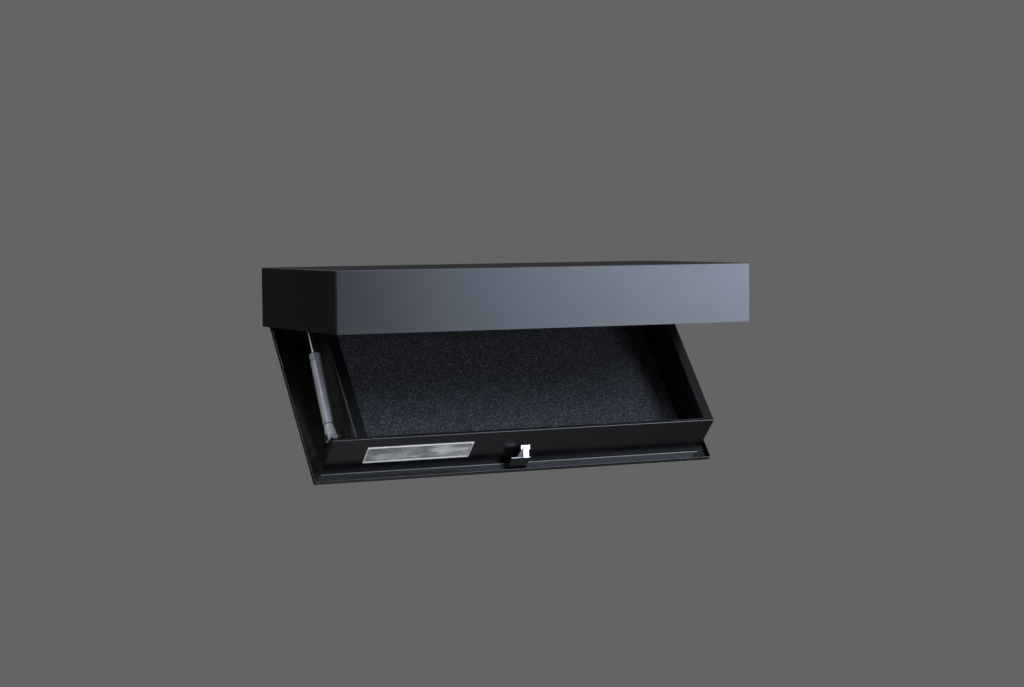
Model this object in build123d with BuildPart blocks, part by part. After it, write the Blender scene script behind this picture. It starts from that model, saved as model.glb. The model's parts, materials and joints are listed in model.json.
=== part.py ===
from build123d import *
import os
from math import atan2, cos, degrees, hypot, pi, radians, sin

# Concealment wall safe: a black sheet-steel shelf with a tray that drops down from inside it.
# Millimetres, +Z up, +X right, +Y into the wall. The origin is the centre of the wall-bolt pattern
# on the rear face. The model rests with the tray open on its gas strut.

# ---- driving dimensions ----
shell_width = 673.0
shell_depth = 305.0
shell_height = 89.0
sheet = 1.5
bend_radius = 1.6
bolt_row_height = 50.0          # centre of the wall bolts above the shell's bottom edge
bolt_spacing_x = 406.4          # 16 inch stud spacing
bolt_spacing_z = 40.0
bolt_hole_radius = 4.25
rear_plate = 2.0

open_angle = 51.0
hinge_y = -14.3
hinge_z = 3.8                   # above the shell's bottom edge
hinge_length = 636.0
knuckle_count = 25
knuckle_radius = 3.0
pin_radius = 1.5
leaf_thickness = 1.2
leaf_far_y = -39.3              # the tray leaf lies on the pan between here and the hinge

pan_half_width = 330.6
pan_front = -301.0
pan_rear = -18.0
lip_height = 8.0
tray_top = 73.9
wall_half_width = 315.5
wall_foot_y = -284.4            # outer face of the front wall at the pan
wall_head_y = -275.6            # and at its top
hem = 5.0
channel_width = 17.5
bay_inner_x = -278.8            # left divider, strut side
rear_wall_y = -24.0
foam_thickness = 12.5

strut_x = -297.0
strut_foot = (-240.7, 31.1)     # lower pivot, y and z with the tray shut
strut_head = (-60.9, 60.0)      # upper pivot, y and z in the shell
tube_radius = 8.25
tube_start = 20.0
tube_end = 134.0
rod_radius = 3.6
rivet_radius = 1.6
rivet_head = (2.9, 1.7, 1.1)    # radius at the seat, radius at the crown, height
running_gap = 0.05
fit_gap = 0.1

# ---- frames: the shell, and the tray turned open about its hinge ----
bottom = -bolt_row_height
turn_cos = cos(radians(open_angle))
turn_sin = sin(radians(open_angle))
shell = Plane(origin=(0, 0, bottom))
tray = Plane(
    origin=(
        0,
        hinge_y - hinge_y * turn_cos + hinge_z * turn_sin,
        bottom + hinge_z - hinge_y * turn_sin - hinge_z * turn_cos,
    ),
    x_dir=(1, 0, 0),
    z_dir=(0, -turn_sin, turn_cos),
)


def side_of(frame, x):
    """Plane across a frame at x: first axis towards the wall, second axis up."""
    return Plane(origin=frame.origin + frame.x_dir * x, x_dir=frame.y_dir, z_dir=frame.x_dir)


def front_of(frame, y):
    """Plane facing the room at depth y: first axis to the right, second axis up."""
    return Plane(origin=frame.origin + frame.y_dir * y, x_dir=frame.x_dir, z_dir=-frame.y_dir)


def block(x0, x1, y0, y1, z0, z1, mode=Mode.ADD):
    """A box between two corners of the frame that the part is built in."""
    with Locations(((x0 + x1) / 2, (y0 + y1) / 2, (z0 + z1) / 2)):
        Box(x1 - x0, y1 - y0, z1 - z0, mode=mode)


def wall_face(z):
    """Depth of the front wall's outer face at height z above the shut shell's edge."""
    return wall_foot_y + (z - sheet) * (wall_head_y - wall_foot_y) / (tray_top - sheet)


def save(piece, name):
    piece.label = name
    export_step(piece, f"parts/{name}.step")


os.makedirs("parts", exist_ok=True)
inside_x = shell_width / 2 - sheet
inside_front = -shell_depth + sheet
inside_top = shell_height - sheet

# ---- shell casing: folded sheet, open underneath and behind ----
with BuildPart(shell) as shell_casing:
    block(-shell_width / 2, shell_width / 2, -shell_depth, 0, 0, shell_height)
    folds = shell_casing.edges().filter_by(Axis.Z).sort_by(Axis.Y)[:2]
    folds += shell_casing.edges().sort_by(Axis.Z).filter_by(
        lambda e: e.center().Z > bottom + shell_height - 1 and e.center().Y < -1
    )
    fillet(folds, bend_radius)
    block(-inside_x, inside_x, inside_front, 0, 0, inside_top, mode=Mode.SUBTRACT)
save(shell_casing.part, "shell_casing")

# ---- rear panel: wall plate with flanges turned forward, and the wall-bolt holes ----
flange = 14.0
flange_foot = 24.0
with BuildPart(shell) as rear_panel:
    block(-inside_x, inside_x, -rear_plate, 0, 0, inside_top)
    block(-inside_x, -inside_x + sheet, -flange, -rear_plate, flange_foot, inside_top)
    block(inside_x - sheet, inside_x, -flange, -rear_plate, flange_foot, inside_top)
    block(-inside_x, inside_x, -flange, -rear_plate, inside_top - sheet, inside_top)
    with BuildSketch(front_of(shell, 0)):
        with Locations((0, bolt_row_height)):
            with GridLocations(bolt_spacing_x, bolt_spacing_z, 2, 2):
                Circle(bolt_hole_radius)
    extrude(amount=rear_plate, mode=Mode.SUBTRACT)
save(rear_panel.part, "rear_panel")

# ---- piano hinge: a rail on the rear panel, two leaves and one long pin ----
rail_front = -10.8
rail_height = 20.0
rail_round = 0.8
rivet_pitch = 90.0
rivet_count = 7
with BuildPart(shell) as hinge_rail:
    block(-inside_x, inside_x, rail_front, -rear_plate, 0, sheet)
    block(-inside_x, inside_x, -rear_plate - sheet, -rear_plate, 0, rail_height)
    fillet(hinge_rail.edges().filter_by(Axis.X).sort_by(Axis.Z)[:2].sort_by(Axis.Y)[-1:], rail_round)
    with Locations((0, (rail_front - rear_plate - sheet) / 2, 0)):
        with GridLocations(rivet_pitch, 1, rivet_count, 1):
            Cylinder(rivet_radius, 3 * sheet, mode=Mode.SUBTRACT)
save(hinge_rail.part, "hinge_rail")


def hinge_leaf(frame, first, edge_y, far_y, rivet_y, bore):
    """One leaf of the hinge: a plate, with every second knuckle from number first."""
    pitch = hinge_length / knuckle_count
    gap = 0.2
    with BuildPart(frame) as leaf:
        block(-hinge_length / 2, hinge_length / 2, min(edge_y, far_y), max(edge_y, far_y),
              sheet, sheet + leaf_thickness)
        for number in range(first, knuckle_count, 2):
            left = -hinge_length / 2 + number * pitch + gap
            right = left + pitch - 2 * gap
            block(left, right, min(edge_y, hinge_y), max(edge_y, hinge_y), sheet, sheet + leaf_thickness)
            with BuildSketch(side_of(frame, left)):
                with Locations((hinge_y, hinge_z)):
                    Circle(knuckle_radius)
            extrude(amount=right - left)
        with BuildSketch(side_of(frame, -hinge_length / 2)):
            with Locations((hinge_y, hinge_z)):
                Circle(bore)
        extrude(amount=hinge_length, mode=Mode.SUBTRACT)
        with Locations((0, rivet_y, sheet)):
            with GridLocations(rivet_pitch, 1, rivet_count, 1):
                Cylinder(rivet_radius, 3 * leaf_thickness, mode=Mode.SUBTRACT)
    return leaf.part


shell_rivet_y = (rail_front - rear_plate - sheet) / 2
tray_rivet_y = -29.0
leaf_edge = knuckle_radius + 0.4
save(
    hinge_leaf(shell, 0, hinge_y + leaf_edge, -rear_plate - sheet - 0.1, shell_rivet_y, pin_radius),
    "hinge_leaf_shell",
)
save(
    hinge_leaf(tray, 1, hinge_y - leaf_edge, leaf_far_y, tray_rivet_y, pin_radius + running_gap),
    "hinge_leaf_tray",
)

with BuildPart() as hinge_pin:
    with BuildSketch(side_of(shell, -hinge_length / 2 - 1)):
        with Locations((hinge_y, hinge_z)):
            Circle(pin_radius)
    extrude(amount=hinge_length + 2)
save(hinge_pin.part, "hinge_pin")


def rivet_row(frame, y, foot, seat):
    """Domed rivets in a row at depth y, their shanks from foot up to the seat of the heads."""
    with BuildPart(frame) as row:
        with Locations((0, y, (foot + seat) / 2)):
            with GridLocations(rivet_pitch, 1, rivet_count, 1):
                Cylinder(rivet_radius, seat - foot)
        with Locations((0, y, seat)):
            with GridLocations(rivet_pitch, 1, rivet_count, 1):
                Cone(*rivet_head, align=(Align.CENTER, Align.CENTER, Align.MIN))
    return row.part


save(rivet_row(shell, shell_rivet_y, 0, sheet + leaf_thickness), "shell_leaf_rivets")
save(rivet_row(tray, tray_rivet_y, 0, sheet + leaf_thickness), "tray_leaf_rivets")

# ---- base pan: the tray's floor with an upturned lip on three sides ----
lip_rear = -24.0
under_bend = 1.2
rim_round = 0.6
with BuildPart(tray) as base_pan:
    block(-pan_half_width, pan_half_width, pan_front, pan_rear, 0, sheet)
    block(-pan_half_width, pan_half_width, pan_front, pan_front + sheet, 0, lip_height)
    block(-pan_half_width, -pan_half_width + sheet, pan_front, lip_rear, 0, lip_height)
    block(pan_half_width - sheet, pan_half_width, pan_front, lip_rear, 0, lip_height)
    under = base_pan.faces().sort_by(Axis(tray.origin, tray.z_dir))[0]
    floor_edges = under.edges().sort_by(Axis(tray.origin, tray.y_dir))[:-1]
    corners = base_pan.edges().filter_by(
        lambda e: abs(tray.to_local_coords(e.center()).Y - pan_front) < 0.1
        and abs(abs(e.center().X) - pan_half_width) < 0.1
    )
    fillet(floor_edges + corners, under_bend)
    lip_rim = base_pan.edges().filter_by(
        lambda e: tray.to_local_coords(e.center()).Z > lip_height - 0.1 and e.length > 100
    )
    fillet(lip_rim, rim_round)
    with Locations((0, tray_rivet_y, 0)):
        with GridLocations(rivet_pitch, 1, rivet_count, 1):
            Cylinder(rivet_radius, 3 * sheet, mode=Mode.SUBTRACT)
save(base_pan.part, "base_pan")

# ---- front wall: leans back, hemmed at the top, with a return at its left end ----
slant = wall_face(sheet + 1) - wall_face(sheet)
wall_run = sheet * hypot(1, slant)
return_depth = 10.0
foot_bend = 1.8                 # reach of the hollow seam between the wall and the pan
foot_sag = 0.5
hem_bend = 1.2
with BuildPart() as front_wall:
    with BuildSketch(side_of(tray, -wall_half_width)):
        with BuildLine():
            Polyline(
                (wall_foot_y, sheet),
                (wall_head_y, tray_top),
                (wall_head_y + hem, tray_top),
                (wall_head_y + hem, tray_top - sheet),
                (wall_face(tray_top - sheet) + wall_run, tray_top - sheet),
                (wall_foot_y + wall_run, sheet),
                close=True,
            )
        make_face()
        fillet(vertices().sort_by(Axis.Y)[-2:].sort_by(Axis.X)[0], hem_bend)
    extrude(amount=2 * wall_half_width)
    with BuildSketch(side_of(tray, -wall_half_width)):
        with BuildLine():
            Polyline(
                (wall_foot_y + wall_run / 2, sheet),
                (wall_face(tray_top - sheet) + wall_run / 2, tray_top - sheet),
                (wall_face(tray_top - sheet) + return_depth, tray_top - sheet),
                (wall_foot_y + return_depth, sheet),
                close=True,
            )
        make_face()
    extrude(amount=sheet)
    with BuildSketch(side_of(tray, -wall_half_width)):
        with BuildLine():
            seam = Polyline(
                (wall_foot_y - foot_bend, sheet),
                (wall_foot_y + wall_run / 2, sheet),
                (wall_face(sheet + foot_bend), sheet + foot_bend),
            )
            SagittaArc(seam @ 1, seam @ 0, foot_sag)
        make_face()
    extrude(amount=2 * wall_half_width)
save(front_wall.part, "front_wall")

channel_bend = 1.0


def side_channel(x0):
    """Inverted channel from the front wall to the rear wall, closed at the top."""
    with BuildPart() as channel:
        with BuildSketch(side_of(tray, x0)):
            with BuildLine():
                Polyline(
                    (wall_foot_y + wall_run, sheet),
                    (wall_face(tray_top - sheet) + wall_run, tray_top - sheet),
                    (wall_head_y + hem, tray_top - sheet),
                    (wall_head_y + hem, tray_top),
                    (rear_wall_y, tray_top),
                    (rear_wall_y, sheet),
                    close=True,
                )
            make_face()
        extrude(amount=channel_width)
        long_edges = channel.edges().filter_by(Axis.X, reverse=True).filter_by(
            lambda e: tray.to_local_coords(e.center()).Z > tray_top - 0.1
            and abs(tray.to_local_coords(e.center()).Y) < 200
        )
        fillet(long_edges, channel_bend)
        with BuildSketch(side_of(tray, x0 + sheet)):
            with Locations((wall_foot_y, sheet)):
                Rectangle(
                    2 * abs(wall_foot_y), tray_top - 2 * sheet,
                    align=(Align.CENTER, Align.MIN),
                )
        extrude(amount=channel_width - 2 * sheet, mode=Mode.SUBTRACT)
        with BuildSketch(side_of(tray, x0)):
            with Locations((leaf_far_y - fit_gap, sheet)):
                Rectangle(
                    rear_wall_y - leaf_far_y + 1, leaf_thickness + fit_gap,
                    align=(Align.MIN, Align.MIN),
                )
        extrude(amount=channel_width, mode=Mode.SUBTRACT)
    return channel.part


bay_side = bay_inner_x + channel_width
right_inner = wall_half_width - channel_width
save(side_channel(bay_inner_x), "left_divider_channel")
save(side_channel(right_inner), "right_wall_channel")

with BuildPart(tray) as rear_wall_channel:
    block(bay_side, right_inner, rear_wall_y - channel_width, rear_wall_y, sheet, tray_top)
    rim = rear_wall_channel.edges().filter_by(Axis.X).sort_by(Axis(tray.origin, tray.z_dir))[-2:]
    fillet(rim, channel_bend)
    block(bay_side, right_inner, rear_wall_y - channel_width + sheet, rear_wall_y - sheet,
          sheet, tray_top - sheet, mode=Mode.SUBTRACT)
    block(bay_side, right_inner, rear_wall_y - sheet, rear_wall_y, sheet,
          sheet + leaf_thickness + fit_gap, mode=Mode.SUBTRACT)
save(rear_wall_channel.part, "rear_wall_channel")

# ---- foam lining of the storage tray ----
foam_front = -281.0
foam_gap = 0.5
with BuildPart(tray) as foam_mat:
    block(bay_side + foam_gap, right_inner - foam_gap, foam_front, rear_wall_y - channel_width - foam_gap,
          sheet, sheet + foam_thickness)
save(foam_mat.part, "foam_mat")

# ---- blank name plate on the front wall: a raised frame round a flat insert ----
lean = hypot(1, slant)
face_out = tray.z_dir * (slant / lean) - tray.y_dir * (1 / lean)
front_face = Plane(
    origin=tray.from_local_coords((0, wall_foot_y, sheet)), x_dir=(1, 0, 0), z_dir=face_out
)
plate_x = -173.0
plate_height = 37.8
plate_width = 169.0
plate_rise = 33.2
plate_border = 2.7
plate_groove = 1.0
plate_proud = 1.4               # of the frame above the wall
insert_proud = 0.8
plate_round = 0.5
with BuildPart() as name_plate_frame:
    with BuildSketch(front_face):
        with Locations((plate_x, plate_height)):
            Rectangle(plate_width, plate_rise)
            Rectangle(plate_width - 2 * plate_border, plate_rise - 2 * plate_border, mode=Mode.SUBTRACT)
    extrude(amount=plate_proud)
    fillet(name_plate_frame.faces().sort_by(Axis(front_face.origin, face_out))[-1].edges(), plate_round)
save(name_plate_frame.part, "name_plate_frame")

insert_margin = 2 * (plate_border + plate_groove)
with BuildPart() as name_plate_insert:
    with BuildSketch(front_face):
        with Locations((plate_x, plate_height)):
            Rectangle(plate_width - insert_margin, plate_rise - insert_margin)
    extrude(amount=insert_proud)
save(name_plate_insert.part, "name_plate_insert")

# ---- latch keeper: a folded upright on the ledge, tied back to the wall by a zinc strap ----
keeper_left = -22.5
keeper_right = 8.5
keeper_top = 29.2
keeper_reach = 13.4             # from the front wall's face to the upright's face
bar_depth = 1.8
bar_foot = keeper_top - 1.1
strap_left = -2.7
strap_right = 6.1
strap_head = 40.5
strap_drop = 2.2                # the strap's thickness, measured upright
tab_left = -6.5
tab_right = 8.0
tab_reach = 5.0                 # of the tab's front from the wall
tab_depth = 14.0                # from the strap's head down to the tab's foot
tab_bend = 4.0
gusset_reach = 9.0
gusset_rake = 4.0
gusset_half_thickness = 1.0
weld = 0.4                      # how far the strap and gusset run into the bar


def keeper_face(z):
    """Depth of the upright's outer face: it leans back as the front wall does."""
    return wall_face(z) - keeper_reach


with BuildPart() as keeper_upright:
    with BuildSketch(side_of(tray, keeper_left)):
        with BuildLine():
            Polyline(
                (keeper_face(sheet), sheet),
                (keeper_face(bar_foot), bar_foot),
                (keeper_face(bar_foot) + sheet, bar_foot),
                (keeper_face(2 * sheet) + sheet, 2 * sheet),
                (wall_foot_y - 2, 2 * sheet),
                (wall_foot_y - 2, sheet),
                close=True,
            )
        make_face()
    extrude(amount=keeper_right - keeper_left)
save(keeper_upright.part, "keeper_upright")

bar_front = keeper_face(keeper_top)
strap_slope = (strap_head - keeper_top) / (wall_face(strap_head) - bar_front)
tab_front = wall_face(strap_head) - tab_reach
tab_foot = strap_head - tab_depth
tab_brow = strap_head - tab_reach * strap_slope
gusset_top = 0.85 * (strap_head - keeper_top)
gusset_foot = keeper_top - weld
gusset_corner = tray.from_local_coords((strap_left, bar_front, gusset_foot))
gusset_along = tray.x_dir * -gusset_reach + tray.y_dir * gusset_rake
gusset_edge = tray.y_dir * (gusset_top / strap_slope) + tray.z_dir * gusset_top
gusset_plane = Plane(origin=gusset_corner, x_dir=gusset_along, z_dir=gusset_along.cross(gusset_edge))
gusset_peak = gusset_plane.to_local_coords(gusset_corner + gusset_edge)
with BuildPart(tray) as latch_keeper:
    block(keeper_left, keeper_right, bar_front, bar_front + bar_depth, bar_foot, keeper_top)
    with BuildSketch(side_of(tray, strap_left)):
        with BuildLine():
            Polyline(
                (bar_front, keeper_top),
                (wall_face(strap_head), strap_head),
                (wall_face(strap_head - strap_drop), strap_head - strap_drop),
                (bar_front + bar_depth, bar_foot + weld),
                (bar_front, bar_foot + weld),
                close=True,
            )
        make_face()
    extrude(amount=strap_right - strap_left)
    with BuildSketch(side_of(tray, tab_left)):
        with BuildLine():
            Polyline(
                (tab_front, tab_brow),
                (wall_face(strap_head), strap_head),
                (wall_face(tab_foot), tab_foot),
                (wall_face(tab_foot) - sheet, tab_foot),
                (wall_face(strap_head - tab_bend) - sheet, strap_head - tab_bend),
                (tab_front, tab_brow - strap_drop),
                close=True,
            )
        make_face()
    extrude(amount=tab_right - tab_left)
    with BuildSketch(gusset_plane):
        with BuildLine():
            Polyline((0, 0), (gusset_along.length, 0), (gusset_peak.X, gusset_peak.Y), close=True)
        make_face()
    extrude(amount=gusset_half_thickness, both=True)
save(latch_keeper.part, "latch_keeper")


# ---- gas strut ----
foot_point = tray.from_local_coords((strut_x, strut_foot[0], strut_foot[1]))
head_point = shell.from_local_coords((strut_x, strut_head[0], strut_head[1]))
strut_run = head_point - foot_point
strut = Plane(origin=foot_point, x_dir=(1, 0, 0), z_dir=strut_run.normalized())
strut_length = strut_run.length


def turned(profile, frame):
    """A turned piece: a closed outline of radius and height, spun about the frame's Z axis."""
    section = Plane(origin=frame.origin, x_dir=frame.x_dir, z_dir=-frame.y_dir)
    with BuildPart() as piece:
        with BuildSketch(section):
            with BuildLine():
                Polyline(*profile, close=True)
            make_face()
        revolve(axis=Axis(frame.origin, frame.z_dir))
    return piece.part


tube_wall = 0.9
tube_cap = 2.0
tube_round = 1.2
bore_radius = tube_radius - tube_wall
crimp = 1.0                     # depth of the groove rolled in over the rod guide
groove_top = tube_end - 10.0
neck_foot = tube_end - 13.6
neck_radius = bore_radius - crimp
tube_profile = [
    (0, tube_start), (tube_radius - tube_round, tube_start), (tube_radius, tube_start + tube_round),
    (tube_radius, groove_top - 3 * crimp), (tube_radius - crimp, groove_top - 2 * crimp),
    (tube_radius - crimp, groove_top - crimp), (tube_radius, groove_top),
    (tube_radius, tube_end - tube_round), (tube_radius - tube_round, tube_end),
    (neck_radius, tube_end), (neck_radius, neck_foot), (bore_radius, neck_foot - crimp),
    (bore_radius, tube_start + tube_cap), (0, tube_start + tube_cap),
]
save(turned(tube_profile, strut), "strut_tube")

guide_foot = tube_end - 13.0
guide_top = tube_end - 0.6
guide_radius = neck_radius - 0.02
guide_profile = [
    (rod_radius + running_gap, guide_foot), (guide_radius, guide_foot),
    (guide_radius, guide_top), (rod_radius + running_gap, guide_top),
]
save(turned(guide_profile, strut), "strut_rod_guide")

piston_foot = tube_end - 30.0
piston_length = 8.0
piston_seat = 2.5
rod_end = strut_length - 9.0
rod_profile = [
    (0, piston_foot), (piston_seat, piston_foot), (piston_seat, piston_foot + piston_length),
    (rod_radius, piston_foot + piston_length), (rod_radius, rod_end), (0, rod_end),
]
save(turned(rod_profile, strut), "strut_rod")

piston_profile = [
    (piston_seat, piston_foot), (bore_radius - running_gap, piston_foot),
    (bore_radius - running_gap, piston_foot + piston_length), (piston_seat, piston_foot + piston_length),
]
save(turned(piston_profile, strut), "strut_piston")

eye_radius = 7.0
eye_half_width = 4.0
socket_half_width = 7.5
socket_shy = 0.3                # how far the round end stands inside the socket's flat sides
socket_corner = 3.0
stud_radius = 3.5
with BuildPart() as strut_lower_socket:
    with BuildSketch(strut.offset(tube_start)):
        Circle(tube_radius - tube_round)
    with BuildSketch(strut.offset(1.0)):
        RectangleRounded(2 * socket_half_width, 2 * eye_radius + 2, socket_corner)
    loft()
    with BuildSketch(side_of(strut, socket_shy - socket_half_width)):
        Circle(eye_radius)
    extrude(amount=2 * (socket_half_width - socket_shy))
    with BuildSketch(side_of(strut, -socket_half_width)):
        Circle(stud_radius + running_gap)
    extrude(amount=2 * socket_half_width, mode=Mode.SUBTRACT)
save(strut_lower_socket.part, "strut_lower_socket")

pin_at_head = 3.0
ferrule_radius = rod_radius + 1.8
ferrule_length = 14.0
ferrule_neck = 2.5
with BuildPart() as strut_upper_eye:
    with BuildSketch(strut.offset(rod_end)):
        Circle(ferrule_radius)
    extrude(amount=-ferrule_length)
    with BuildSketch(side_of(strut.offset(strut_length), -eye_half_width)):
        Circle(eye_radius)
    extrude(amount=2 * eye_half_width)
    with BuildSketch(strut.offset(rod_end)):
        Circle(ferrule_radius)
    extrude(amount=ferrule_neck)
    with BuildSketch(strut.offset(rod_end)):
        Circle(rod_radius)
    extrude(amount=-ferrule_length, mode=Mode.SUBTRACT)
    with BuildSketch(side_of(strut.offset(strut_length), -eye_half_width)):
        Circle(pin_at_head)
    extrude(amount=2 * eye_half_width, mode=Mode.SUBTRACT)
save(strut_upper_eye.part, "strut_upper_eye")


def cross_frame(point):
    """A frame at a pivot whose Z axis runs along +X."""
    return Plane(origin=point, x_dir=(0, 1, 0), z_dir=(1, 0, 0))


hanger_x = -312.0
hanger_plate = 2.0
collar_radius = 10.0
collar_thickness = 1.5
collar_gap = 0.7
pin_tip = 1.3
head_radius = 5.0
head_thickness = 1.4
head_gap = 0.2
collar_near = hanger_x - strut_x - collar_gap
collar_far = hanger_x - strut_x + hanger_plate + collar_gap
head_seat = eye_half_width + head_gap
pin_profile = [
    (0, collar_near - collar_thickness - pin_tip), (pin_at_head, collar_near - collar_thickness - pin_tip),
    (pin_at_head, collar_near - collar_thickness), (collar_radius, collar_near - collar_thickness),
    (collar_radius, collar_near), (pin_at_head, collar_near), (pin_at_head, collar_far),
    (collar_radius, collar_far), (collar_radius, collar_far + collar_thickness),
    (pin_at_head, collar_far + collar_thickness), (pin_at_head, head_seat), (head_radius, head_seat),
    (head_radius, head_seat + head_thickness), (0, head_seat + head_thickness),
]
save(turned(pin_profile, cross_frame(head_point)), "strut_upper_pin")

bracket_thickness = 3.5
stud_shoulder = 6.0
stud_seat = socket_half_width + head_gap
stud_end = bay_inner_x - bracket_thickness - strut_x
stud_profile = [
    (0, -stud_seat - head_thickness), (head_radius, -stud_seat - head_thickness), (head_radius, -stud_seat),
    (stud_radius, -stud_seat), (stud_radius, stud_seat), (stud_shoulder, stud_seat),
    (stud_shoulder, stud_end), (0, stud_end),
]
save(turned(stud_profile, cross_frame(foot_point)), "strut_lower_stud")

# ---- strut brackets: one plate on the divider, one slotted hanger under the shell's top ----
bracket_length = 46.0
bracket_rise = 30.0
bracket_corner = 4.0
bracket_rivet_span = 32.0
bracket_rivet_head = 3.2
bracket_rivet_proud = 1.2
with BuildPart(tray) as strut_lower_bracket:
    with BuildSketch(side_of(tray, bay_inner_x - bracket_thickness)):
        with Locations(strut_foot):
            RectangleRounded(bracket_length, bracket_rise, bracket_corner)
            with GridLocations(bracket_rivet_span, 1, 2, 1):
                Circle(rivet_radius, mode=Mode.SUBTRACT)
    extrude(amount=bracket_thickness)
save(strut_lower_bracket.part, "strut_lower_bracket")

with BuildPart() as bracket_rivets:
    with BuildSketch(side_of(tray, bay_inner_x)):
        with Locations(strut_foot):
            with GridLocations(bracket_rivet_span, 1, 2, 1):
                Circle(rivet_radius)
    extrude(amount=-bracket_thickness)
    with BuildSketch(side_of(tray, bay_inner_x - bracket_thickness)):
        with Locations(strut_foot):
            with GridLocations(bracket_rivet_span, 1, 2, 1):
                Circle(bracket_rivet_head)
    extrude(amount=-bracket_rivet_proud)
save(bracket_rivets.part, "bracket_rivets")

slot_rear = 5.5                 # how far the head pin drifts towards the wall in mid travel
slot_drop = 6.4                 # and how far it drops
window_gap = 0.8
window_half = pin_at_head + window_gap
hanger_foot = strut_head[1] - slot_drop - window_half - 4.0
hanger_front = strut_head[0] - 22.0
hanger_rear = strut_head[0] + 26.0
hanger_flange = 20.0
window_corner = 3.0
with BuildPart(shell) as strut_hanger:
    block(hanger_x, hanger_x + hanger_flange, hanger_front, hanger_rear,
          inside_top - hanger_plate, inside_top)
    block(hanger_x, hanger_x + hanger_plate, hanger_front, hanger_rear,
          hanger_foot, inside_top - hanger_plate)
    with BuildSketch(side_of(shell, hanger_x)):
        with Locations((strut_head[0] + slot_rear / 2, strut_head[1] - slot_drop / 2)):
            RectangleRounded(slot_rear + 2 * window_half, slot_drop + 2 * window_half, window_corner)
    extrude(amount=hanger_plate, mode=Mode.SUBTRACT)
save(strut_hanger.part, "strut_hanger")

# ---- rubber buffers above the tray's rim ----
buffer_gap = 0.4
buffer_foot_radius = 5.0
buffer_head_radius = 6.5
buffer_pitch_y = 180.0
rim_left = bay_inner_x + channel_width / 2
rim_right = wall_half_width - channel_width / 2
with BuildPart(shell) as rubber_buffers:
    with Locations(((rim_left + rim_right) / 2, (rear_wall_y + wall_head_y) / 2, tray_top + buffer_gap)):
        with GridLocations(rim_right - rim_left, buffer_pitch_y, 2, 2):
            Cone(buffer_foot_radius, buffer_head_radius, inside_top - tray_top - buffer_gap,
                 align=(Align.CENTER, Align.CENTER, Align.MIN))
save(rubber_buffers.part, "rubber_buffers")

# ---- motor lock on the inside of the shell's front ----
lock_left = 18.0
lock_right = 98.0
lock_rear = -285.3
lock_foot = 13.0
lock_head = 34.0
bolt_tip = 13.0
bolt_tail = 46.0
bolt_y0 = -292.5
bolt_y1 = lock_rear - sheet - fit_gap
bolt_z0 = 17.0
bolt_z1 = 25.0
screw_y = (bolt_y0 + bolt_y1) / 2
screw_z = (bolt_z0 + bolt_z1) / 2
screw_radius = 1.95
ear_positions = (30.0, 80.0)
ear_z = 40.0
ear_half_width = 7.0
ear_head = ear_z + 6.0
weld_stud_radius = 2.0
weld_stud_length = 7.0
nut_radius = 3.9
nut_height = 3.2
cable_entry = (88.0, 92.6, -297.0)      # left, right and rear of the slot in the housing's top
with BuildPart(shell) as lock_housing:
    block(lock_left, lock_right, inside_front, lock_rear, lock_foot, lock_head)
    block(lock_left + sheet, lock_right - sheet, inside_front, lock_rear - sheet,
          lock_foot + sheet, lock_head - sheet, mode=Mode.SUBTRACT)
    block(lock_left - 1, lock_left + sheet, bolt_y0 - fit_gap, bolt_y1 + fit_gap,
          bolt_z0 - fit_gap, bolt_z1 + fit_gap, mode=Mode.SUBTRACT)
    block(cable_entry[0], cable_entry[1], inside_front, cable_entry[2], lock_head - sheet, lock_head,
          mode=Mode.SUBTRACT)
    for ear_x in ear_positions:
        block(ear_x - ear_half_width, ear_x + ear_half_width, inside_front, inside_front + sheet,
              lock_head, ear_head)
    with BuildSketch(front_of(shell, inside_front)):
        with Locations(*[(ear_x, ear_z) for ear_x in ear_positions]):
            Circle(weld_stud_radius)
    extrude(amount=-sheet, mode=Mode.SUBTRACT)
save(lock_housing.part, "lock_housing")

with BuildPart() as lock_weld_studs:
    with BuildSketch(front_of(shell, inside_front)):
        with Locations(*[(ear_x, ear_z) for ear_x in ear_positions]):
            Circle(weld_stud_radius)
    extrude(amount=-weld_stud_length)
save(lock_weld_studs.part, "lock_weld_studs")

with BuildPart() as lock_nuts:
    with BuildSketch(front_of(shell, inside_front + sheet)):
        with Locations(*[(ear_x, ear_z) for ear_x in ear_positions]):
            RegularPolygon(nut_radius, 6)
            Circle(weld_stud_radius, mode=Mode.SUBTRACT)
    extrude(amount=-nut_height)
save(lock_nuts.part, "lock_nuts")

bolt_chamfer = 1.2
bolt_bore = 26.0                # depth of the threaded bore, from the bolt's tail
with BuildPart(shell) as lock_bolt:
    block(bolt_tip, bolt_tail, bolt_y0, bolt_y1, bolt_z0, bolt_z1)
    chamfer(lock_bolt.faces().sort_by(Axis.X)[0].edges(), bolt_chamfer)
    with BuildSketch(side_of(shell, bolt_tail)):
        with Locations((screw_y, screw_z)):
            Circle(screw_radius + running_gap)
    extrude(amount=-bolt_bore, mode=Mode.SUBTRACT)
save(lock_bolt.part, "lock_bolt")

motor_left = 60.0
gear_length = 10.0
motor_length = 15.0
motor_half_height = 6.0
motor_half_depth = 4.5
motor_y = screw_y - 3.0
motor_front = inside_front + 2.0
shaft_radius = 1.5
shaft_depth = 6.0
coupling_radius = 2.6
screw_tip = 22.0
screw_shoulder = 50.0
coupling_end = motor_left - 0.5
screw_frame = cross_frame(shell.from_local_coords((0, screw_y, screw_z)))
screw_profile = [
    (0, screw_tip), (screw_radius, screw_tip), (screw_radius, screw_shoulder),
    (coupling_radius, screw_shoulder), (coupling_radius, coupling_end), (shaft_radius, coupling_end),
    (shaft_radius, motor_left + shaft_depth), (0, motor_left + shaft_depth),
]
save(turned(screw_profile, screw_frame), "lock_screw")

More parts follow.
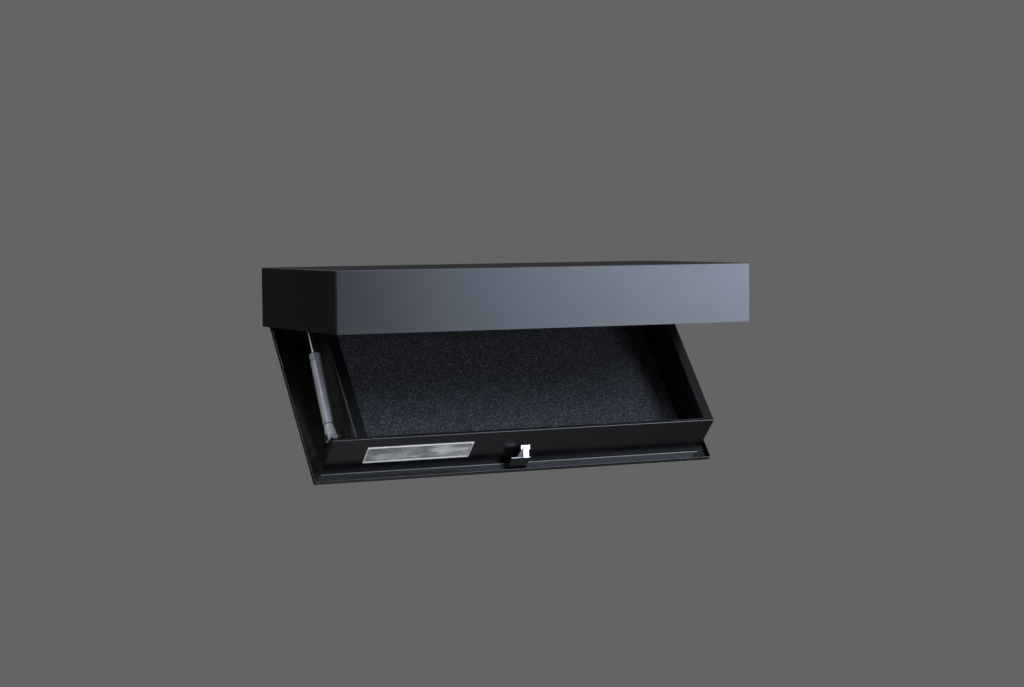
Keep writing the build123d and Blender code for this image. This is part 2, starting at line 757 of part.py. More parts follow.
with BuildPart(shell) as gear_motor:
    block(motor_left, motor_left + gear_length, motor_front, screw_y + 2.8,
          screw_z - motor_half_height, screw_z + motor_half_height)
    with BuildSketch(side_of(shell, motor_left + gear_length)):
        with Locations((motor_y, screw_z)):
            RectangleRounded(2 * motor_half_depth, 2 * motor_half_height, 2.5)
    extrude(amount=motor_length)
    with BuildSketch(side_of(shell, motor_left)):
        with Locations((screw_y, screw_z)):
            Circle(shaft_radius + running_gap)
    extrude(amount=shaft_depth + 1, mode=Mode.SUBTRACT)
save(gear_motor.part, "gear_motor")

# ---- battery box and controller on the right side, in the gap beside the tray ----
side_gap_x = 319.0
cell_radius = 7.1
cell_length = 50.0
cell_count = 4
cell_pitch = 14.6
box_y0 = -182.0
box_y1 = -122.0
box_z0 = 14.0
box_z1 = box_z0 + cell_count * cell_pitch + 3.0
box_wall = 0.9
box_end = 1.5
box_floor = 1.2
with BuildPart(shell) as battery_box:
    block(side_gap_x, inside_x, box_y0, box_y1, box_z0, box_z1)
    block(side_gap_x, inside_x - box_wall, box_y0 + box_end, box_y1 - box_end,
          box_z0 + box_floor, box_z1 - box_floor, mode=Mode.SUBTRACT)
save(battery_box.part, "battery_box")

finger_hole_radius = 4.0
with BuildPart(shell) as battery_cover:
    block(side_gap_x - box_wall, side_gap_x, box_y0, box_y1, box_z0, box_z1)
    with Locations((side_gap_x - box_wall, (box_y0 + box_y1) / 2, box_z1 - 9)):
        Cylinder(finger_hole_radius, 4 * box_wall, rotation=(0, 90, 0), mode=Mode.SUBTRACT)
save(battery_cover.part, "battery_cover")

cell_cap = (2.6, 1.2)           # radius and length of each cell's raised contact
with BuildPart(shell) as battery_cells:
    cell_x = (side_gap_x + inside_x - box_wall) / 2
    for number in range(cell_count):
        cell_z = box_z0 + box_end + cell_pitch * (number + 0.5)
        with Locations((cell_x, (box_y0 + box_y1) / 2, cell_z)):
            Cylinder(cell_radius, cell_length, rotation=(90, 0, 0))
        with Locations((cell_x, (box_y0 + box_y1 - cell_length - cell_cap[1]) / 2, cell_z)):
            Cylinder(*cell_cap, rotation=(90, 0, 0))
save(battery_cells.part, "battery_cells")

case_y0 = -262.0
case_y1 = -212.0
case_z0 = 30.0
case_z1 = 72.0
case_x = 321.0
case_wall = 1.5
case_round = 2.0
with BuildPart(shell) as control_case:
    block(case_x, inside_x, case_y0, case_y1, case_z0, case_z1)
    fillet(control_case.edges().filter_by(Axis.X), case_round)
    block(case_x + case_wall, inside_x, case_y0 + case_wall, case_y1 - case_wall,
          case_z0 + case_wall, case_z1 - case_wall, mode=Mode.SUBTRACT)
save(control_case.part, "control_case")

board_face = inside_x - 6.0
board_thickness = 1.6
board_inset = case_wall + fit_gap
chip = (-245.0, -231.0, 44.0, 58.0, 2.5)        # y range, z range and height
connector = (-256.0, -249.0, 36.0, 62.0, 4.5)
with BuildPart(shell) as control_board:
    block(board_face, board_face + board_thickness, case_y0 + board_inset, case_y1 - board_inset,
          case_z0 + board_inset, case_z1 - board_inset)
    for y0, y1, z0, z1, height in (chip, connector):
        block(board_face - height, board_face, y0, y1, z0, z1)
save(control_board.part, "control_board")

# ---- wiring held inside the shell ----
cable_radius = 2.0
cable_x = 328.5
cable_y = -299.5
cable_z = 50.0
cable_bend = 10.0


def cable(points, radii):
    """A round cable along straight runs joined by arcs."""
    with BuildPart() as wire:
        with BuildLine() as route:
            FilletPolyline(*[shell.from_local_coords(p) for p in points], radius=radii)
        start = Plane(origin=route.line @ 0, z_dir=route.line % 0)
        with BuildSketch(start):
            Circle(cable_radius)
        sweep(path=route.line)
    return wire.part


cable_entry_x = (cable_entry[0] + cable_entry[1]) / 2
lock_cable_points = [
    (cable_x, case_y0, cable_z), (cable_x, cable_y, cable_z),
    (cable_entry_x, cable_y, cable_z), (cable_entry_x, cable_y, lock_head - 4),
]
save(cable(lock_cable_points, cable_bend), "lock_cable")

with BuildPart(shell) as battery_lead:
    with Locations((cable_x, (case_y1 + box_y0) / 2, cable_z)):
        Cylinder(cable_radius, box_y0 - case_y1, rotation=(90, 0, 0))
save(battery_lead.part, "battery_lead")

clip_positions = (130.0, 210.0, 290.0)
clip_length = 8.0
clip_wall = 1.2
with BuildPart() as cable_clips:
    for clip_x in clip_positions:
        with BuildSketch(side_of(shell, clip_x - clip_length / 2)):
            with Locations(((inside_front + cable_y) / 2, cable_z)):
                Rectangle(cable_y - inside_front, 2 * (cable_radius + clip_wall))
            with Locations((cable_y, cable_z)):
                Circle(cable_radius + clip_wall)
                Circle(cable_radius, mode=Mode.SUBTRACT)
        extrude(amount=clip_length)
save(cable_clips.part, "cable_clips")

# ---- values for the joints ----
print("hinge", hinge_y, bottom + hinge_z)
print("strut foot", foot_point, "head", head_point, "length", strut_length)
print("strut axis", strut.z_dir)
closed_foot = Vector(strut_x, strut_foot[0], bottom + strut_foot[1])
closed_run = head_point - closed_foot
swing_open = degrees(atan2(strut_run.Z, strut_run.Y)) - open_angle
swing_shut = degrees(atan2(closed_run.Z, closed_run.Y))
print("strut swing", swing_open, swing_shut, "ratio", (swing_shut - swing_open) / -open_angle)
print("strut slide", (closed_run.length - strut_length) / 1000,
      "ratio", (closed_run.length - strut_length) / 1000 / -radians(open_angle))
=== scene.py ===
import json
import math

import bmesh
import bpy
from mathutils import Matrix, Vector, noise


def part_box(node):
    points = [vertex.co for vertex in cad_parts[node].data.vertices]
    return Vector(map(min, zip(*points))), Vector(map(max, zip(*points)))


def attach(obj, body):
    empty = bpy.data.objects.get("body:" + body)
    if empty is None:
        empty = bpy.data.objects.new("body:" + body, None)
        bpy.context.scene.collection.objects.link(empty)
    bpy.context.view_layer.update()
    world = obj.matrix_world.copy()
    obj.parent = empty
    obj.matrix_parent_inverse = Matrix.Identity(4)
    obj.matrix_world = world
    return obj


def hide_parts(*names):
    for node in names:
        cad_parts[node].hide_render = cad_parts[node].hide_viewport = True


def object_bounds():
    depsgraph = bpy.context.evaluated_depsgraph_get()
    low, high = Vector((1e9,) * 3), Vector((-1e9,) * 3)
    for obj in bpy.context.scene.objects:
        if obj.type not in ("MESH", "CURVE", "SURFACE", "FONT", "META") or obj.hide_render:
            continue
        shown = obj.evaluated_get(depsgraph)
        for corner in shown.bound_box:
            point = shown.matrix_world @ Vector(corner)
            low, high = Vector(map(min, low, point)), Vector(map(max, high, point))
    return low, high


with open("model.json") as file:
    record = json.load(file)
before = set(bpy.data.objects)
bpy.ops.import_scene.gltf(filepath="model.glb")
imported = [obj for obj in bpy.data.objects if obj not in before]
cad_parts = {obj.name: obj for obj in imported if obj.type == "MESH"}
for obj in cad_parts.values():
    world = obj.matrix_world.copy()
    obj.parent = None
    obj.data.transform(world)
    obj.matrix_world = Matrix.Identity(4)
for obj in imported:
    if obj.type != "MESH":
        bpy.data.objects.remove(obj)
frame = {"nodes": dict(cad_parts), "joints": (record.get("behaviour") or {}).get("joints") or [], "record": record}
nodes = frame["nodes"]
cad_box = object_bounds()
scene = bpy.context.scene
MM = 0.001

# ---------------------------------------------------------------- the frame's own dimensions
foam_low, foam_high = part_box("foam_mat")
hinge = next(joint for joint in frame["joints"] if joint["name"] == "tray_hinge")
hinge_line = Vector((0, *hinge["pos_m"][1:]))         # a point of it, in the middle plane
open_angle = -math.radians(hinge["range_deg"][0])
tray_back = Vector((0, math.cos(open_angle), math.sin(open_angle)))     # up the slope, to the hinge
tray_up = Vector((0, -math.sin(open_angle), math.cos(open_angle)))      # out of the tray


# ---------------------------------------------------------------- camera
eye = Vector((-1.4136, -3.0668, 0.0996))
camera_yaw = math.radians(26.00)
camera_pitch = math.radians(3.17)
camera_roll = math.radians(-0.53)
camera_lens = 75.26


def make_camera():
    """A long lens from the left, a little above the shelf and turned to look past its middle."""
    data = bpy.data.cameras.new("camera")
    data.sensor_width = 36
    data.lens = camera_lens
    data.clip_end = 60
    ahead = Vector((
        math.sin(camera_yaw) * math.cos(camera_pitch),
        math.cos(camera_yaw) * math.cos(camera_pitch),
        -math.sin(camera_pitch),
    ))
    level = Vector((math.cos(camera_yaw), -math.sin(camera_yaw), 0))
    above = level.cross(ahead)
    right = level * math.cos(camera_roll) + above * math.sin(camera_roll)
    up = above * math.cos(camera_roll) - level * math.sin(camera_roll)
    turn = Matrix((right, up, -ahead)).transposed().to_4x4()
    camera = bpy.data.objects.new("camera", data)
    camera.matrix_world = Matrix.Translation(eye) @ turn
    scene.collection.objects.link(camera)
    scene.camera = camera


make_camera()


# ---------------------------------------------------------------- material tools
mix_first, mix_second = 6, 7    # the Mix node's colour inputs
mix_result = 2                  # and its colour output


class Tree:
    """A material's node tree, with short calls for the nodes that these materials use."""

    def __init__(self, name):
        self.material = bpy.data.materials.new(name)
        self.material.use_nodes = True
        self.nodes = self.material.node_tree.nodes
        self.links = self.material.node_tree.links
        self.shader = self.nodes["Principled BSDF"]
        self.place = self.add("ShaderNodeTexCoord").outputs["Object"]

    def add(self, kind, **settings):
        node = self.nodes.new(kind)
        for key, value in settings.items():
            setattr(node, key, value)
        return node

    def feed(self, node, socket, value):
        """Sets a socket, or links it if the value is another node's output."""
        target = node.inputs[socket]
        if isinstance(value, bpy.types.NodeSocket):
            self.links.new(value, target)
        else:
            target.default_value = value

    def set(self, **values):
        """Values for the shader's own sockets, with _ for a space."""
        for key, value in values.items():
            self.feed(self.shader, key.replace("_", " "), value)

    def stretch(self, x, y, z):
        """The object's own coordinates, scaled along each axis."""
        node = self.add("ShaderNodeMapping")
        self.feed(node, "Vector", self.place)
        self.feed(node, "Scale", (x, y, z))
        return node.outputs["Vector"]

    def noise(self, scale, detail=3.0, rough=0.55, at=None):
        node = self.add("ShaderNodeTexNoise")
        self.feed(node, "Vector", at or self.place)
        self.feed(node, "Scale", scale)
        self.feed(node, "Detail", detail)
        self.feed(node, "Roughness", rough)
        return node.outputs["Fac"]

    def cells(self, scale, output="Distance", feature="F1", at=None):
        node = self.add("ShaderNodeTexVoronoi", feature=feature)
        self.feed(node, "Vector", at or self.place)
        self.feed(node, "Scale", scale)
        return node.outputs[output]

    def spread(self, value, low, high, to_low, to_high):
        """Maps a value from one range to another, clamped."""
        node = self.add("ShaderNodeMapRange")
        self.feed(node, "Value", value)
        for socket, number in zip(("From Min", "From Max", "To Min", "To Max"), (low, high, to_low, to_high)):
            self.feed(node, socket, number)
        return node.outputs["Result"]

    def clouds(self, scale, detail=3.0, low=0.3, high=0.7):
        """Soft patches of noise, from 0 to 1."""
        return self.spread(self.noise(scale, detail=detail), low, high, 0.0, 1.0)

    def math(self, operation, a, b=0.0):
        node = self.add("ShaderNodeMath", operation=operation)
        self.feed(node, 0, a)
        self.feed(node, 1, b)
        return node.outputs[0]

    def blend(self, factor, first, second):
        """Mixes two colours, each of them three numbers or another node's output."""
        node = self.add("ShaderNodeMix", data_type="RGBA")
        self.feed(node, "Factor", factor)
        for socket, value in ((mix_first, first), (mix_second, second)):
            self.feed(node, socket, (*value, 1.0) if isinstance(value, tuple) else value)
        return node.outputs[mix_result]

    def bump(self, height, depth, under=None):
        """Bump of a real depth in metres, on top of another bump."""
        node = self.add("ShaderNodeBump")
        self.feed(node, "Height", height)
        self.feed(node, "Distance", depth)
        if under is not None:
            self.feed(node, "Normal", under)
        return node.outputs["Normal"]


def scaled(colour, times):
    """The same hue, lighter or darker."""
    return tuple(channel * times for channel in colour)


def powder_coat(name, colour, dullness):
    """Smooth black powder coat: a low orange peel, a fine grain and faint duller smudges."""
    tree = Tree(name)
    shade = tree.clouds(14)
    smudges = tree.noise(38, detail=5, rough=0.6)
    grain = tree.noise(2600, detail=2)
    rough = tree.math("ADD", tree.spread(smudges, 0.35, 0.75, dullness - 0.012, dullness + 0.03),
                      tree.spread(grain, 0.3, 0.7, -0.01, 0.01))
    peel = tree.bump(tree.noise(330, detail=1.5), 0.0025 * MM)
    tree.set(Base_Color=tree.blend(shade, colour, scaled(colour, 1.3)), Roughness=rough, IOR=1.55,
             Normal=tree.bump(grain, 0.0012 * MM, under=peel))
    return tree.material


def zinc_plate(name, colour=(0.74, 0.76, 0.79), rough=0.24):
    """Bright zinc: a drawn grain, cloudy passivation and duller scratches."""
    tree = Tree(name)
    cloud = tree.noise(120, detail=4)
    drawn = tree.noise(900, detail=3, at=tree.stretch(0.05, 1.0, 1.0))
    tint = tree.blend(tree.spread(cloud, 0.35, 0.7, 0.0, 1.0), colour,
                      (colour[0] * 0.92, colour[1] * 0.9, colour[2] * 0.82))
    tree.set(Base_Color=tint, Metallic=1.0, Normal=tree.bump(drawn, 0.006 * MM),
             Roughness=tree.spread(tree.math("ADD", cloud, drawn), 0.7, 1.3, rough - 0.07, rough + 0.12))
    return tree.material


def lacquered_tube(name):
    """Pale grey lacquer on a steel tube, with a clear gloss and a few rub marks along it."""
    tree = Tree(name)
    rubs = tree.noise(400, detail=4, at=tree.stretch(1.0, 0.15, 0.1))
    body = tree.blend(tree.clouds(60), (0.27, 0.285, 0.31), (0.33, 0.345, 0.37))
    body = tree.blend(tree.spread(rubs, 0.60, 0.72, 0.0, 0.5), body, (0.46, 0.48, 0.51))
    tree.set(Base_Color=body, Metallic=0.35, IOR=1.5, Coat_Weight=0.5, Coat_Roughness=0.1,
             Roughness=tree.spread(rubs, 0.3, 0.75, 0.26, 0.42),
             Normal=tree.bump(tree.noise(500, detail=2), 0.005 * MM))
    return tree.material


def polished_rod(name):
    """Ground and hard-chromed bar: rings of grinding marks round it."""
    tree = Tree(name)
    rings = tree.noise(2500, detail=2, at=tree.stretch(0.02, 1.0, 1.0))
    tree.set(Base_Color=(0.78, 0.79, 0.81, 1), Metallic=1.0, Normal=tree.bump(rings, 0.002 * MM),
             Roughness=tree.spread(rings, 0.3, 0.7, 0.07, 0.17))
    return tree.material


def moulding(name, colour, rough, grain_scale=1500, depth=0.02 * MM):
    """Moulded plastic or rubber with a spark-eroded grain and slight shade changes."""
    tree = Tree(name)
    grain = tree.cells(grain_scale)
    body = tree.blend(tree.clouds(45, detail=4), colour, scaled(colour, 1.5))
    tree.set(Base_Color=body, Normal=tree.bump(grain, depth), IOR=1.5,
             Roughness=tree.spread(tree.noise(300), 0.3, 0.7, rough - 0.05, rough + 0.07))
    return tree.material


def speckled_foam(name):
    """Dense black foam: open pores, and a fine glint of flecks at two sizes."""
    tree = Tree(name)

    def flecks(scale, rarest, strength):
        """Grains of random brightness, few of them bright, each fading out from its middle."""
        shade = tree.add("ShaderNodeSeparateColor")
        tree.feed(shade, "Color", tree.cells(scale, output="Color"))
        bright = tree.math("POWER", shade.outputs["Red"], rarest)
        return tree.math("MULTIPLY", bright, tree.spread(tree.cells(scale), 0.15, 0.65, strength, 0.0))

    glint = tree.math("MAXIMUM", flecks(520, 3.5, 1.0), flecks(900, 3.0, 0.9))
    ground = tree.blend(tree.clouds(140, detail=5, low=0.35, high=0.65),
                        (0.0065, 0.0065, 0.0068), (0.012, 0.0122, 0.0135))
    fleck = tree.blend(tree.clouds(60, low=0.35, high=0.65), (0.20, 0.21, 0.275), (0.28, 0.285, 0.33))
    pores = tree.bump(tree.cells(1000), 0.3 * MM)
    tree.set(Base_Color=tree.blend(glint, ground, fleck), Specular_IOR_Level=0.45,
             Roughness=tree.spread(glint, 0.0, 1.0, 0.75, 0.30),
             Normal=tree.bump(tree.noise(700, detail=4), 0.35 * MM, under=pores))
    return tree.material


def plate_rim(name):
    """Satin silver rim of the name plate."""
    tree = Tree(name)
    fine = tree.noise(900, detail=3)
    tone = tree.blend(tree.clouds(70), (0.95, 0.92, 0.86), (0.85, 0.82, 0.77))
    tree.set(Base_Color=tone, Metallic=0.25, Normal=tree.bump(fine, 0.004 * MM),
             Roughness=tree.spread(fine, 0.3, 0.7, 0.30, 0.42))
    return tree.material


def plate_face(name):
    """Brushed face of the name plate: streaks, a cloudy antique stain, and a painted highlight that makes it
    lighter towards the right.
    """
    tree = Tree(name)
    low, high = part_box("name_plate_insert")
    strokes = tree.noise(1100, detail=4, at=tree.stretch(0.03, 1.0, 1.0))
    stain = tree.noise(34, detail=5, rough=0.6, at=tree.stretch(0.6, 1.0, 1.0))
    axes = tree.add("ShaderNodeSeparateXYZ")
    tree.feed(axes, "Vector", tree.place)
    # painted highlight: the face's colour grows lighter towards its right end, mixed in with the real stain
    painted_light_drift = tree.spread(axes.outputs["X"], low.x, high.x, -0.10, 0.16)
    stain_and_painted_light = tree.spread(tree.math("ADD", stain, painted_light_drift), 0.36, 0.66, 0.0, 1.0)
    tone = tree.blend(stain_and_painted_light, (0.42, 0.42, 0.385), (0.96, 0.94, 0.88))
    smears = tree.spread(tree.noise(90, detail=4, at=tree.stretch(0.25, 1.0, 1.0)), 0.45, 0.58, 0.0, 0.6)
    tone = tree.blend(smears, tone, (0.16, 0.16, 0.14))
    tree.set(Base_Color=tone, Metallic=0.1, Normal=tree.bump(strokes, 0.01 * MM),
             Roughness=tree.spread(strokes, 0.3, 0.7, 0.28, 0.45))
    return tree.material


def black_oxide(name):
    """Blackened steel of the lower stud and of the rivets in its bracket."""
    tree = Tree(name)
    bloom = tree.noise(260, detail=4)
    tone = tree.blend(tree.spread(bloom, 0.35, 0.7, 0.0, 1.0), (0.035, 0.035, 0.038), (0.07, 0.068, 0.066))
    tree.set(Base_Color=tone, Metallic=0.8, Normal=tree.bump(bloom, 0.008 * MM),
             Roughness=tree.spread(bloom, 0.3, 0.7, 0.32, 0.48))
    return tree.material


def galvanised(name):
    """Galvanised sheet with its spangle of dull and bright crystals."""
    tree = Tree(name)
    spangle = tree.add("ShaderNodeSeparateColor")
    tree.feed(spangle, "Color", tree.cells(190, output="Color"))
    crystal = spangle.outputs["Red"]
    tree.set(Base_Color=tree.blend(crystal, (0.46, 0.48, 0.50), (0.64, 0.66, 0.68)), Metallic=1.0,
             Roughness=tree.spread(crystal, 0.0, 1.0, 0.32, 0.5),
             Normal=tree.bump(tree.noise(600), 0.01 * MM))
    return tree.material


def cell_jacket(name):
    """Plain shrink film on the battery cells, with a metal band at each cell's end."""
    tree = Tree(name)
    low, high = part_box("battery_cells")
    axes = tree.add("ShaderNodeSeparateXYZ")
    tree.feed(axes, "Vector", tree.place)
    near_end = tree.spread(axes.outputs["Y"], low.y + 8 * MM, low.y + 8.4 * MM, 1.0, 0.0)
    film = tree.blend(tree.clouds(80), (0.02, 0.03, 0.06), (0.03, 0.05, 0.09))
    tree.set(Base_Color=tree.blend(near_end, film, (0.6, 0.6, 0.6)), Metallic=near_end,
             Roughness=tree.spread(tree.noise(300), 0.3, 0.7, 0.2, 0.32))
    return tree.material


def circuit_board(name):
    """Green solder mask over copper tracks."""
    tree = Tree(name)
    tracks = tree.add("ShaderNodeTexBrick")
    tree.feed(tracks, "Vector", tree.stretch(1.0, 260.0, 260.0))
    tree.feed(tracks, "Scale", 1.0)
    tree.feed(tracks, "Color1", (0.015, 0.09, 0.035, 1))
    tree.feed(tracks, "Color2", (0.02, 0.13, 0.05, 1))
    tree.feed(tracks, "Mortar", (0.05, 0.20, 0.07, 1))
    tree.set(Base_Color=tracks.outputs["Color"], Normal=tree.bump(tracks.outputs["Fac"], 0.03 * MM),
             Roughness=tree.spread(tree.noise(400), 0.3, 0.7, 0.25, 0.4))
    return tree.material


# ---------------------------------------------------------------- materials on the CAD nodes
finishes = {
    "shell_paint": powder_coat("shell_powder_coat", (0.0034, 0.0034, 0.0036), dullness=0.14),
    "tray_paint": powder_coat("tray_powder_coat", (0.0042, 0.0042, 0.0045), dullness=0.24),
    "zinc_steel": zinc_plate("bright_zinc"),
    "black_oxide": black_oxide("blackened_steel"),
    "strut_lacquer": lacquered_tube("grey_tube_lacquer"),
    "polished_rod": polished_rod("chromed_bar"),
    "strut_ends": moulding("grey_composite", (0.30, 0.31, 0.32), 0.38),
    "rubber": moulding("buffer_rubber", (0.012, 0.012, 0.012), 0.62, grain_scale=900, depth=0.04 * MM),
    "plate_rim": plate_rim("satin_silver_rim"),
    "plate_face": plate_face("stained_silver_face_with_painted_light"),
    "lock_metal": galvanised("galvanised_sheet"),
    "black_plastic": moulding("black_plastic", (0.016, 0.016, 0.017), 0.42),
    "cell_jacket": cell_jacket("cell_film"),
    "circuit_board": circuit_board("solder_mask"),
    "cable_jacket": moulding("cable_pvc", (0.014, 0.014, 0.015), 0.36, grain_scale=700),
}


def dress_cad_nodes():
    for part in frame["record"]["subparts"]:
        slot = part["material_slot"]
        mesh = nodes[part["node"]].data
        if slot in finishes:
            mesh.materials.clear()
            mesh.materials.append(finishes[slot])


dress_cad_nodes()


# ---------------------------------------------------------------- foam lining
foam_cut = 3.0 * MM             # grid of the visible face
foam_edge = 2.2 * MM            # radius of its soft rim
foam_settle = 0.55 * MM         # room that the face leaves under the CAD sheet's own
swell_height = 0.35 * MM
swell_scale = 14                # waves to the metre
skin_height = 0.16 * MM
skin_scale = 420


def tray_point(x, along, up):
    """A point of the tray: x across, along the slope from the hinge towards the front, and up out of it."""
    return hinge_line + Vector((x, 0, 0)) - tray_back * along + tray_up * up


def make_foam():
    """A cut foam sheet: soft edges, a face that dips and rises a little, and a fine torn skin."""
    corners = [vertex.co - hinge_line for vertex in nodes["foam_mat"].data.vertices]
    along = [-corner.dot(tray_back) for corner in corners]
    up = [corner.dot(tray_up) for corner in corners]
    left, right = foam_low.x, foam_high.x
    rear, front = min(along), max(along)
    foot_height, face_height = min(up), max(up)
    across = round((right - left) / foam_cut)
    deep = round((front - rear) / foam_cut)

    def face_point(i, j):
        x = left + (right - left) * i / across
        a = rear + (front - rear) * j / deep
        inset = min(x - left, right - x, a - rear, front - a)
        rounding = foam_edge - math.sqrt(max(0.0, foam_edge**2 - max(0.0, foam_edge - inset) ** 2))
        swell = noise.noise(Vector((x * swell_scale, a * swell_scale, 0.3))) * swell_height
        skin = noise.noise(Vector((x * skin_scale, a * skin_scale, 1.7))) * skin_height
        return tray_point(x, a, face_height - foam_settle - rounding + swell + skin)

    work = bmesh.new()
    rows = [[work.verts.new(face_point(i, j)) for j in range(deep + 1)] for i in range(across + 1)]
    for i in range(across):
        for j in range(deep):
            work.faces.new((rows[i][j], rows[i][j + 1], rows[i + 1][j + 1], rows[i + 1][j]))
    rim = [rows[i][0] for i in range(across + 1)]
    rim += [rows[across][j] for j in range(1, deep + 1)]
    rim += [rows[i][deep] for i in range(across - 1, -1, -1)]
    rim += [rows[0][j] for j in range(deep - 1, 0, -1)]
    foot = []
    for vertex in rim:
        height = (vertex.co - hinge_line).dot(tray_up)
        foot.append(work.verts.new(vertex.co - tray_up * (height - foot_height)))
    for k in range(len(rim)):
        following = (k + 1) % len(rim)
        work.faces.new((rim[k], rim[following], foot[following], foot[k]))
    work.faces.new(foot)
    bmesh.ops.recalc_face_normals(work, faces=work.faces)
    mesh = bpy.data.meshes.new("foam_lining")
    work.to_mesh(mesh)
    work.free()
    for face in mesh.polygons:
        face.use_smooth = True
    mesh.materials.append(speckled_foam("speckled_foam"))
    foam = bpy.data.objects.new("foam_lining", mesh)
    scene.collection.objects.link(foam)
    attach(foam, "tray")
    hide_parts("foam_mat")


make_foam()


# ---------------------------------------------------------------- floor
floor_drop = 0.62               # of the floor below the open tray
floor_reach = 1.2               # radius at which it has gone
floor_solid = 0.1               # and beyond which it starts to thin out
floor_sides = 96
floor_shade = (0.26, 0.255, 0.245)
floor_mottle = 0.01             # how far its shade wanders


def make_floor():
    """A plain floor well below the shelf, which thins out with distance so that no rim is in sight."""
    work = bmesh.new()
    bmesh.ops.create_circle(work, cap_ends=True, radius=floor_reach, segments=floor_sides)
    mesh = bpy.data.meshes.new("floor")
    work.to_mesh(mesh)
    work.free()
    floor = bpy.data.objects.new("floor", mesh)
    floor.location = (0, 0, cad_box[0].z - floor_drop)
    scene.collection.objects.link(floor)
    tree = Tree("pale_floor")
    distance = tree.add("ShaderNodeVectorMath", operation="LENGTH")
    tree.feed(distance, 0, tree.place)
    shade = tree.blend(tree.clouds(3.0, detail=4), scaled(floor_shade, 1 - floor_mottle),
                       scaled(floor_shade, 1 + floor_mottle))
    tree.set(Base_Color=shade, Roughness=0.9, Specular_IOR_Level=0.0,
             Alpha=tree.spread(distance.outputs["Value"], floor_solid, floor_reach, 1.0, 0.0))
    mesh.materials.append(tree.material)


make_floor()


# ---------------------------------------------------------------- light
backdrop = 0.127                # grey that the camera sees behind the object
cool = (0.70, 0.805, 1.0)       # tint of the four panels at the front right
key_radiance = 11.0             # level with the shelf
low_radiance = 1.9              # just below
haze_radiance = 0.9             # dim gap above
high_radiance = 12.5
almost_one = 1.001              # keeps the level part of a direction above zero straight up


class Room:
    """The studio round the object, as light that depends only on the direction it comes from."""

    def __init__(self):
        world = bpy.data.worlds.new("studio")
        world.use_nodes = True
        scene.world = world
        self.nodes = world.node_tree.nodes
        self.links = world.node_tree.links
        split = self.nodes.new("ShaderNodeSeparateXYZ")
        self.links.new(self.nodes.new("ShaderNodeTexCoord").outputs["Generated"], split.inputs[0])
        self.x, self.y, self.up = split.outputs
        level = self.math("SQRT", self.math("SUBTRACT", almost_one, self.math("MULTIPLY", self.up, self.up)))
        self.right = self.math("DIVIDE", self.x, level)      # sine of the bearing, level, from the Y axis
        self.in_front = self.ramp(self.y, 0.0, -0.15)
        self.colour = None

    def math(self, operation, a, b=0.0):
        node = self.nodes.new("ShaderNodeMath")
        node.operation = operation
        for socket, value in enumerate((a, b)):
            if isinstance(value, bpy.types.NodeSocket):
                self.links.new(value, node.inputs[socket])
            else:
                node.inputs[socket].default_value = value
        return node.outputs[0]

    def ramp(self, value, zero, one):
        """0 where the value is at zero, rising evenly to 1 where it is at one."""
        node = self.nodes.new("ShaderNodeMapRange")
        self.links.new(value, node.inputs["Value"])
        node.inputs["From Min"].default_value = zero
        node.inputs["From Max"].default_value = one
        return node.outputs["Result"]

    def band(self, value, start, full, waning, end):
        """1 from full to waning, and 0 before start and after end."""
        return self.math("MULTIPLY", self.ramp(value, start, full), self.ramp(value, end, waning))

    def panel(self, colour, right, up):
        """A soft-edged panel in front of the object, with a band of bearings and a band of heights."""
        self.shine(colour, self.in_front, self.band(self.right, *right), self.band(self.up, *up))

    def shine(self, colour, *ramps):
        """Adds a light of this colour, shaped by the product of its ramps."""
        shape = 1.0
        for ramp in ramps:
            shape = self.math("MULTIPLY", ramp, shape)
        lit = self.nodes.new("ShaderNodeVectorMath")
        lit.operation = "SCALE"
        lit.inputs[0].default_value = colour
        if ramps:
            self.links.new(shape, lit.inputs["Scale"])
        if self.colour is not None:
            both = self.nodes.new("ShaderNodeVectorMath")
            self.links.new(self.colour, both.inputs[0])
            self.links.new(lit.outputs[0], both.inputs[1])
            lit = both
        self.colour = lit.outputs[0]

    def finish(self, seen):
        """Lights the scene with the sum, and shows the camera a plain backdrop instead."""
        light_path = self.nodes.new("ShaderNodeLightPath")
        choose = self.nodes.new("ShaderNodeMix")
        choose.data_type = "RGBA"
        self.links.new(light_path.outputs["Is Camera Ray"], choose.inputs["Factor"])
        self.links.new(self.colour, choose.inputs[mix_first])
        choose.inputs[mix_second].default_value = (seen, seen, seen, 1)
        self.links.new(choose.outputs[mix_result], self.nodes["Background"].inputs["Color"])


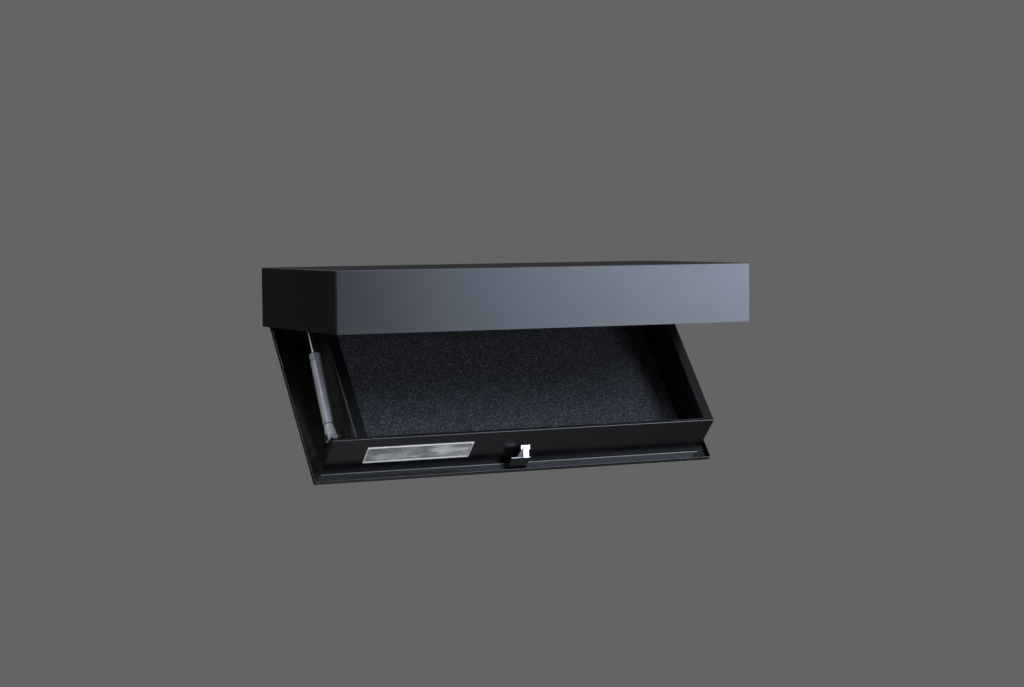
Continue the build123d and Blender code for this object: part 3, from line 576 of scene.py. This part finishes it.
def make_light():
    """Cool panels in front, most of them to the right, a softbox at the upper left, a top glow and fills."""
    room = Room()
    room.shine((0.030, 0.031, 0.035))
    room.shine((0.10, 0.10, 0.105), room.ramp(room.up, 0.1, 0.7))

    key_bearings = (0.345, 0.56, 0.64, 0.82)
    room.panel(scaled(cool, key_radiance), key_bearings, up=(-0.14, 0.04, 0.06, 0.17))
    room.panel(scaled(cool, low_radiance), (0.30, 0.56, 0.64, 0.82), up=(-0.26, -0.12, -0.06, 0.05))
    room.panel(scaled(cool, haze_radiance), (0.30, 0.50, 0.70, 0.85), up=(0.08, 0.20, 0.45, 0.62))
    room.panel(scaled(cool, high_radiance), key_bearings, up=(0.27, 0.36, 0.52, 0.66))
    room.panel((4.4, 4.6, 4.9), (0.20, 0.35, 0.65, 0.80), up=(-0.32, -0.26, -0.19, -0.13))
    room.panel((1.8, 1.9, 2.2), (-0.75, -0.50, 0.70, 0.85), up=(0.42, 0.56, 0.74, 0.86))

    # softbox at the upper left
    room.shine((6.5, 6.5, 6.8), room.band(room.x, -0.76, -0.72, -0.50, -0.46),
               room.band(room.y, -0.34, -0.28, 0.04, 0.10), room.ramp(room.up, 0.0, 0.1))

    # fills: high at the back, then level at the left, the right, the back right and the front left
    not_low = room.ramp(room.up, -0.6, -0.3)
    not_high = room.ramp(room.up, 0.6, 0.3)
    room.shine((0.9, 0.9, 0.93), room.ramp(room.y, 0.25, 0.6), room.band(room.up, 0.30, 0.45, 0.85, 0.95))
    room.shine((0.35, 0.35, 0.36), room.ramp(room.x, -0.55, -0.80), not_low, not_high)
    room.shine((0.35, 0.35, 0.36), room.ramp(room.x, 0.60, 0.85), not_low, not_high)
    room.shine((0.5, 0.5, 0.52), room.ramp(room.y, 0.1, 0.4), room.ramp(room.right, -0.05, 0.10), not_low,
               room.ramp(room.up, -0.04, -0.14))
    room.shine((0.35, 0.35, 0.36), room.in_front, room.ramp(room.right, 0.2, 0.0), not_low,
               room.ramp(room.up, -0.05, -0.2))
    room.finish(backdrop)


make_light()
scene.view_settings.view_transform = "Standard"
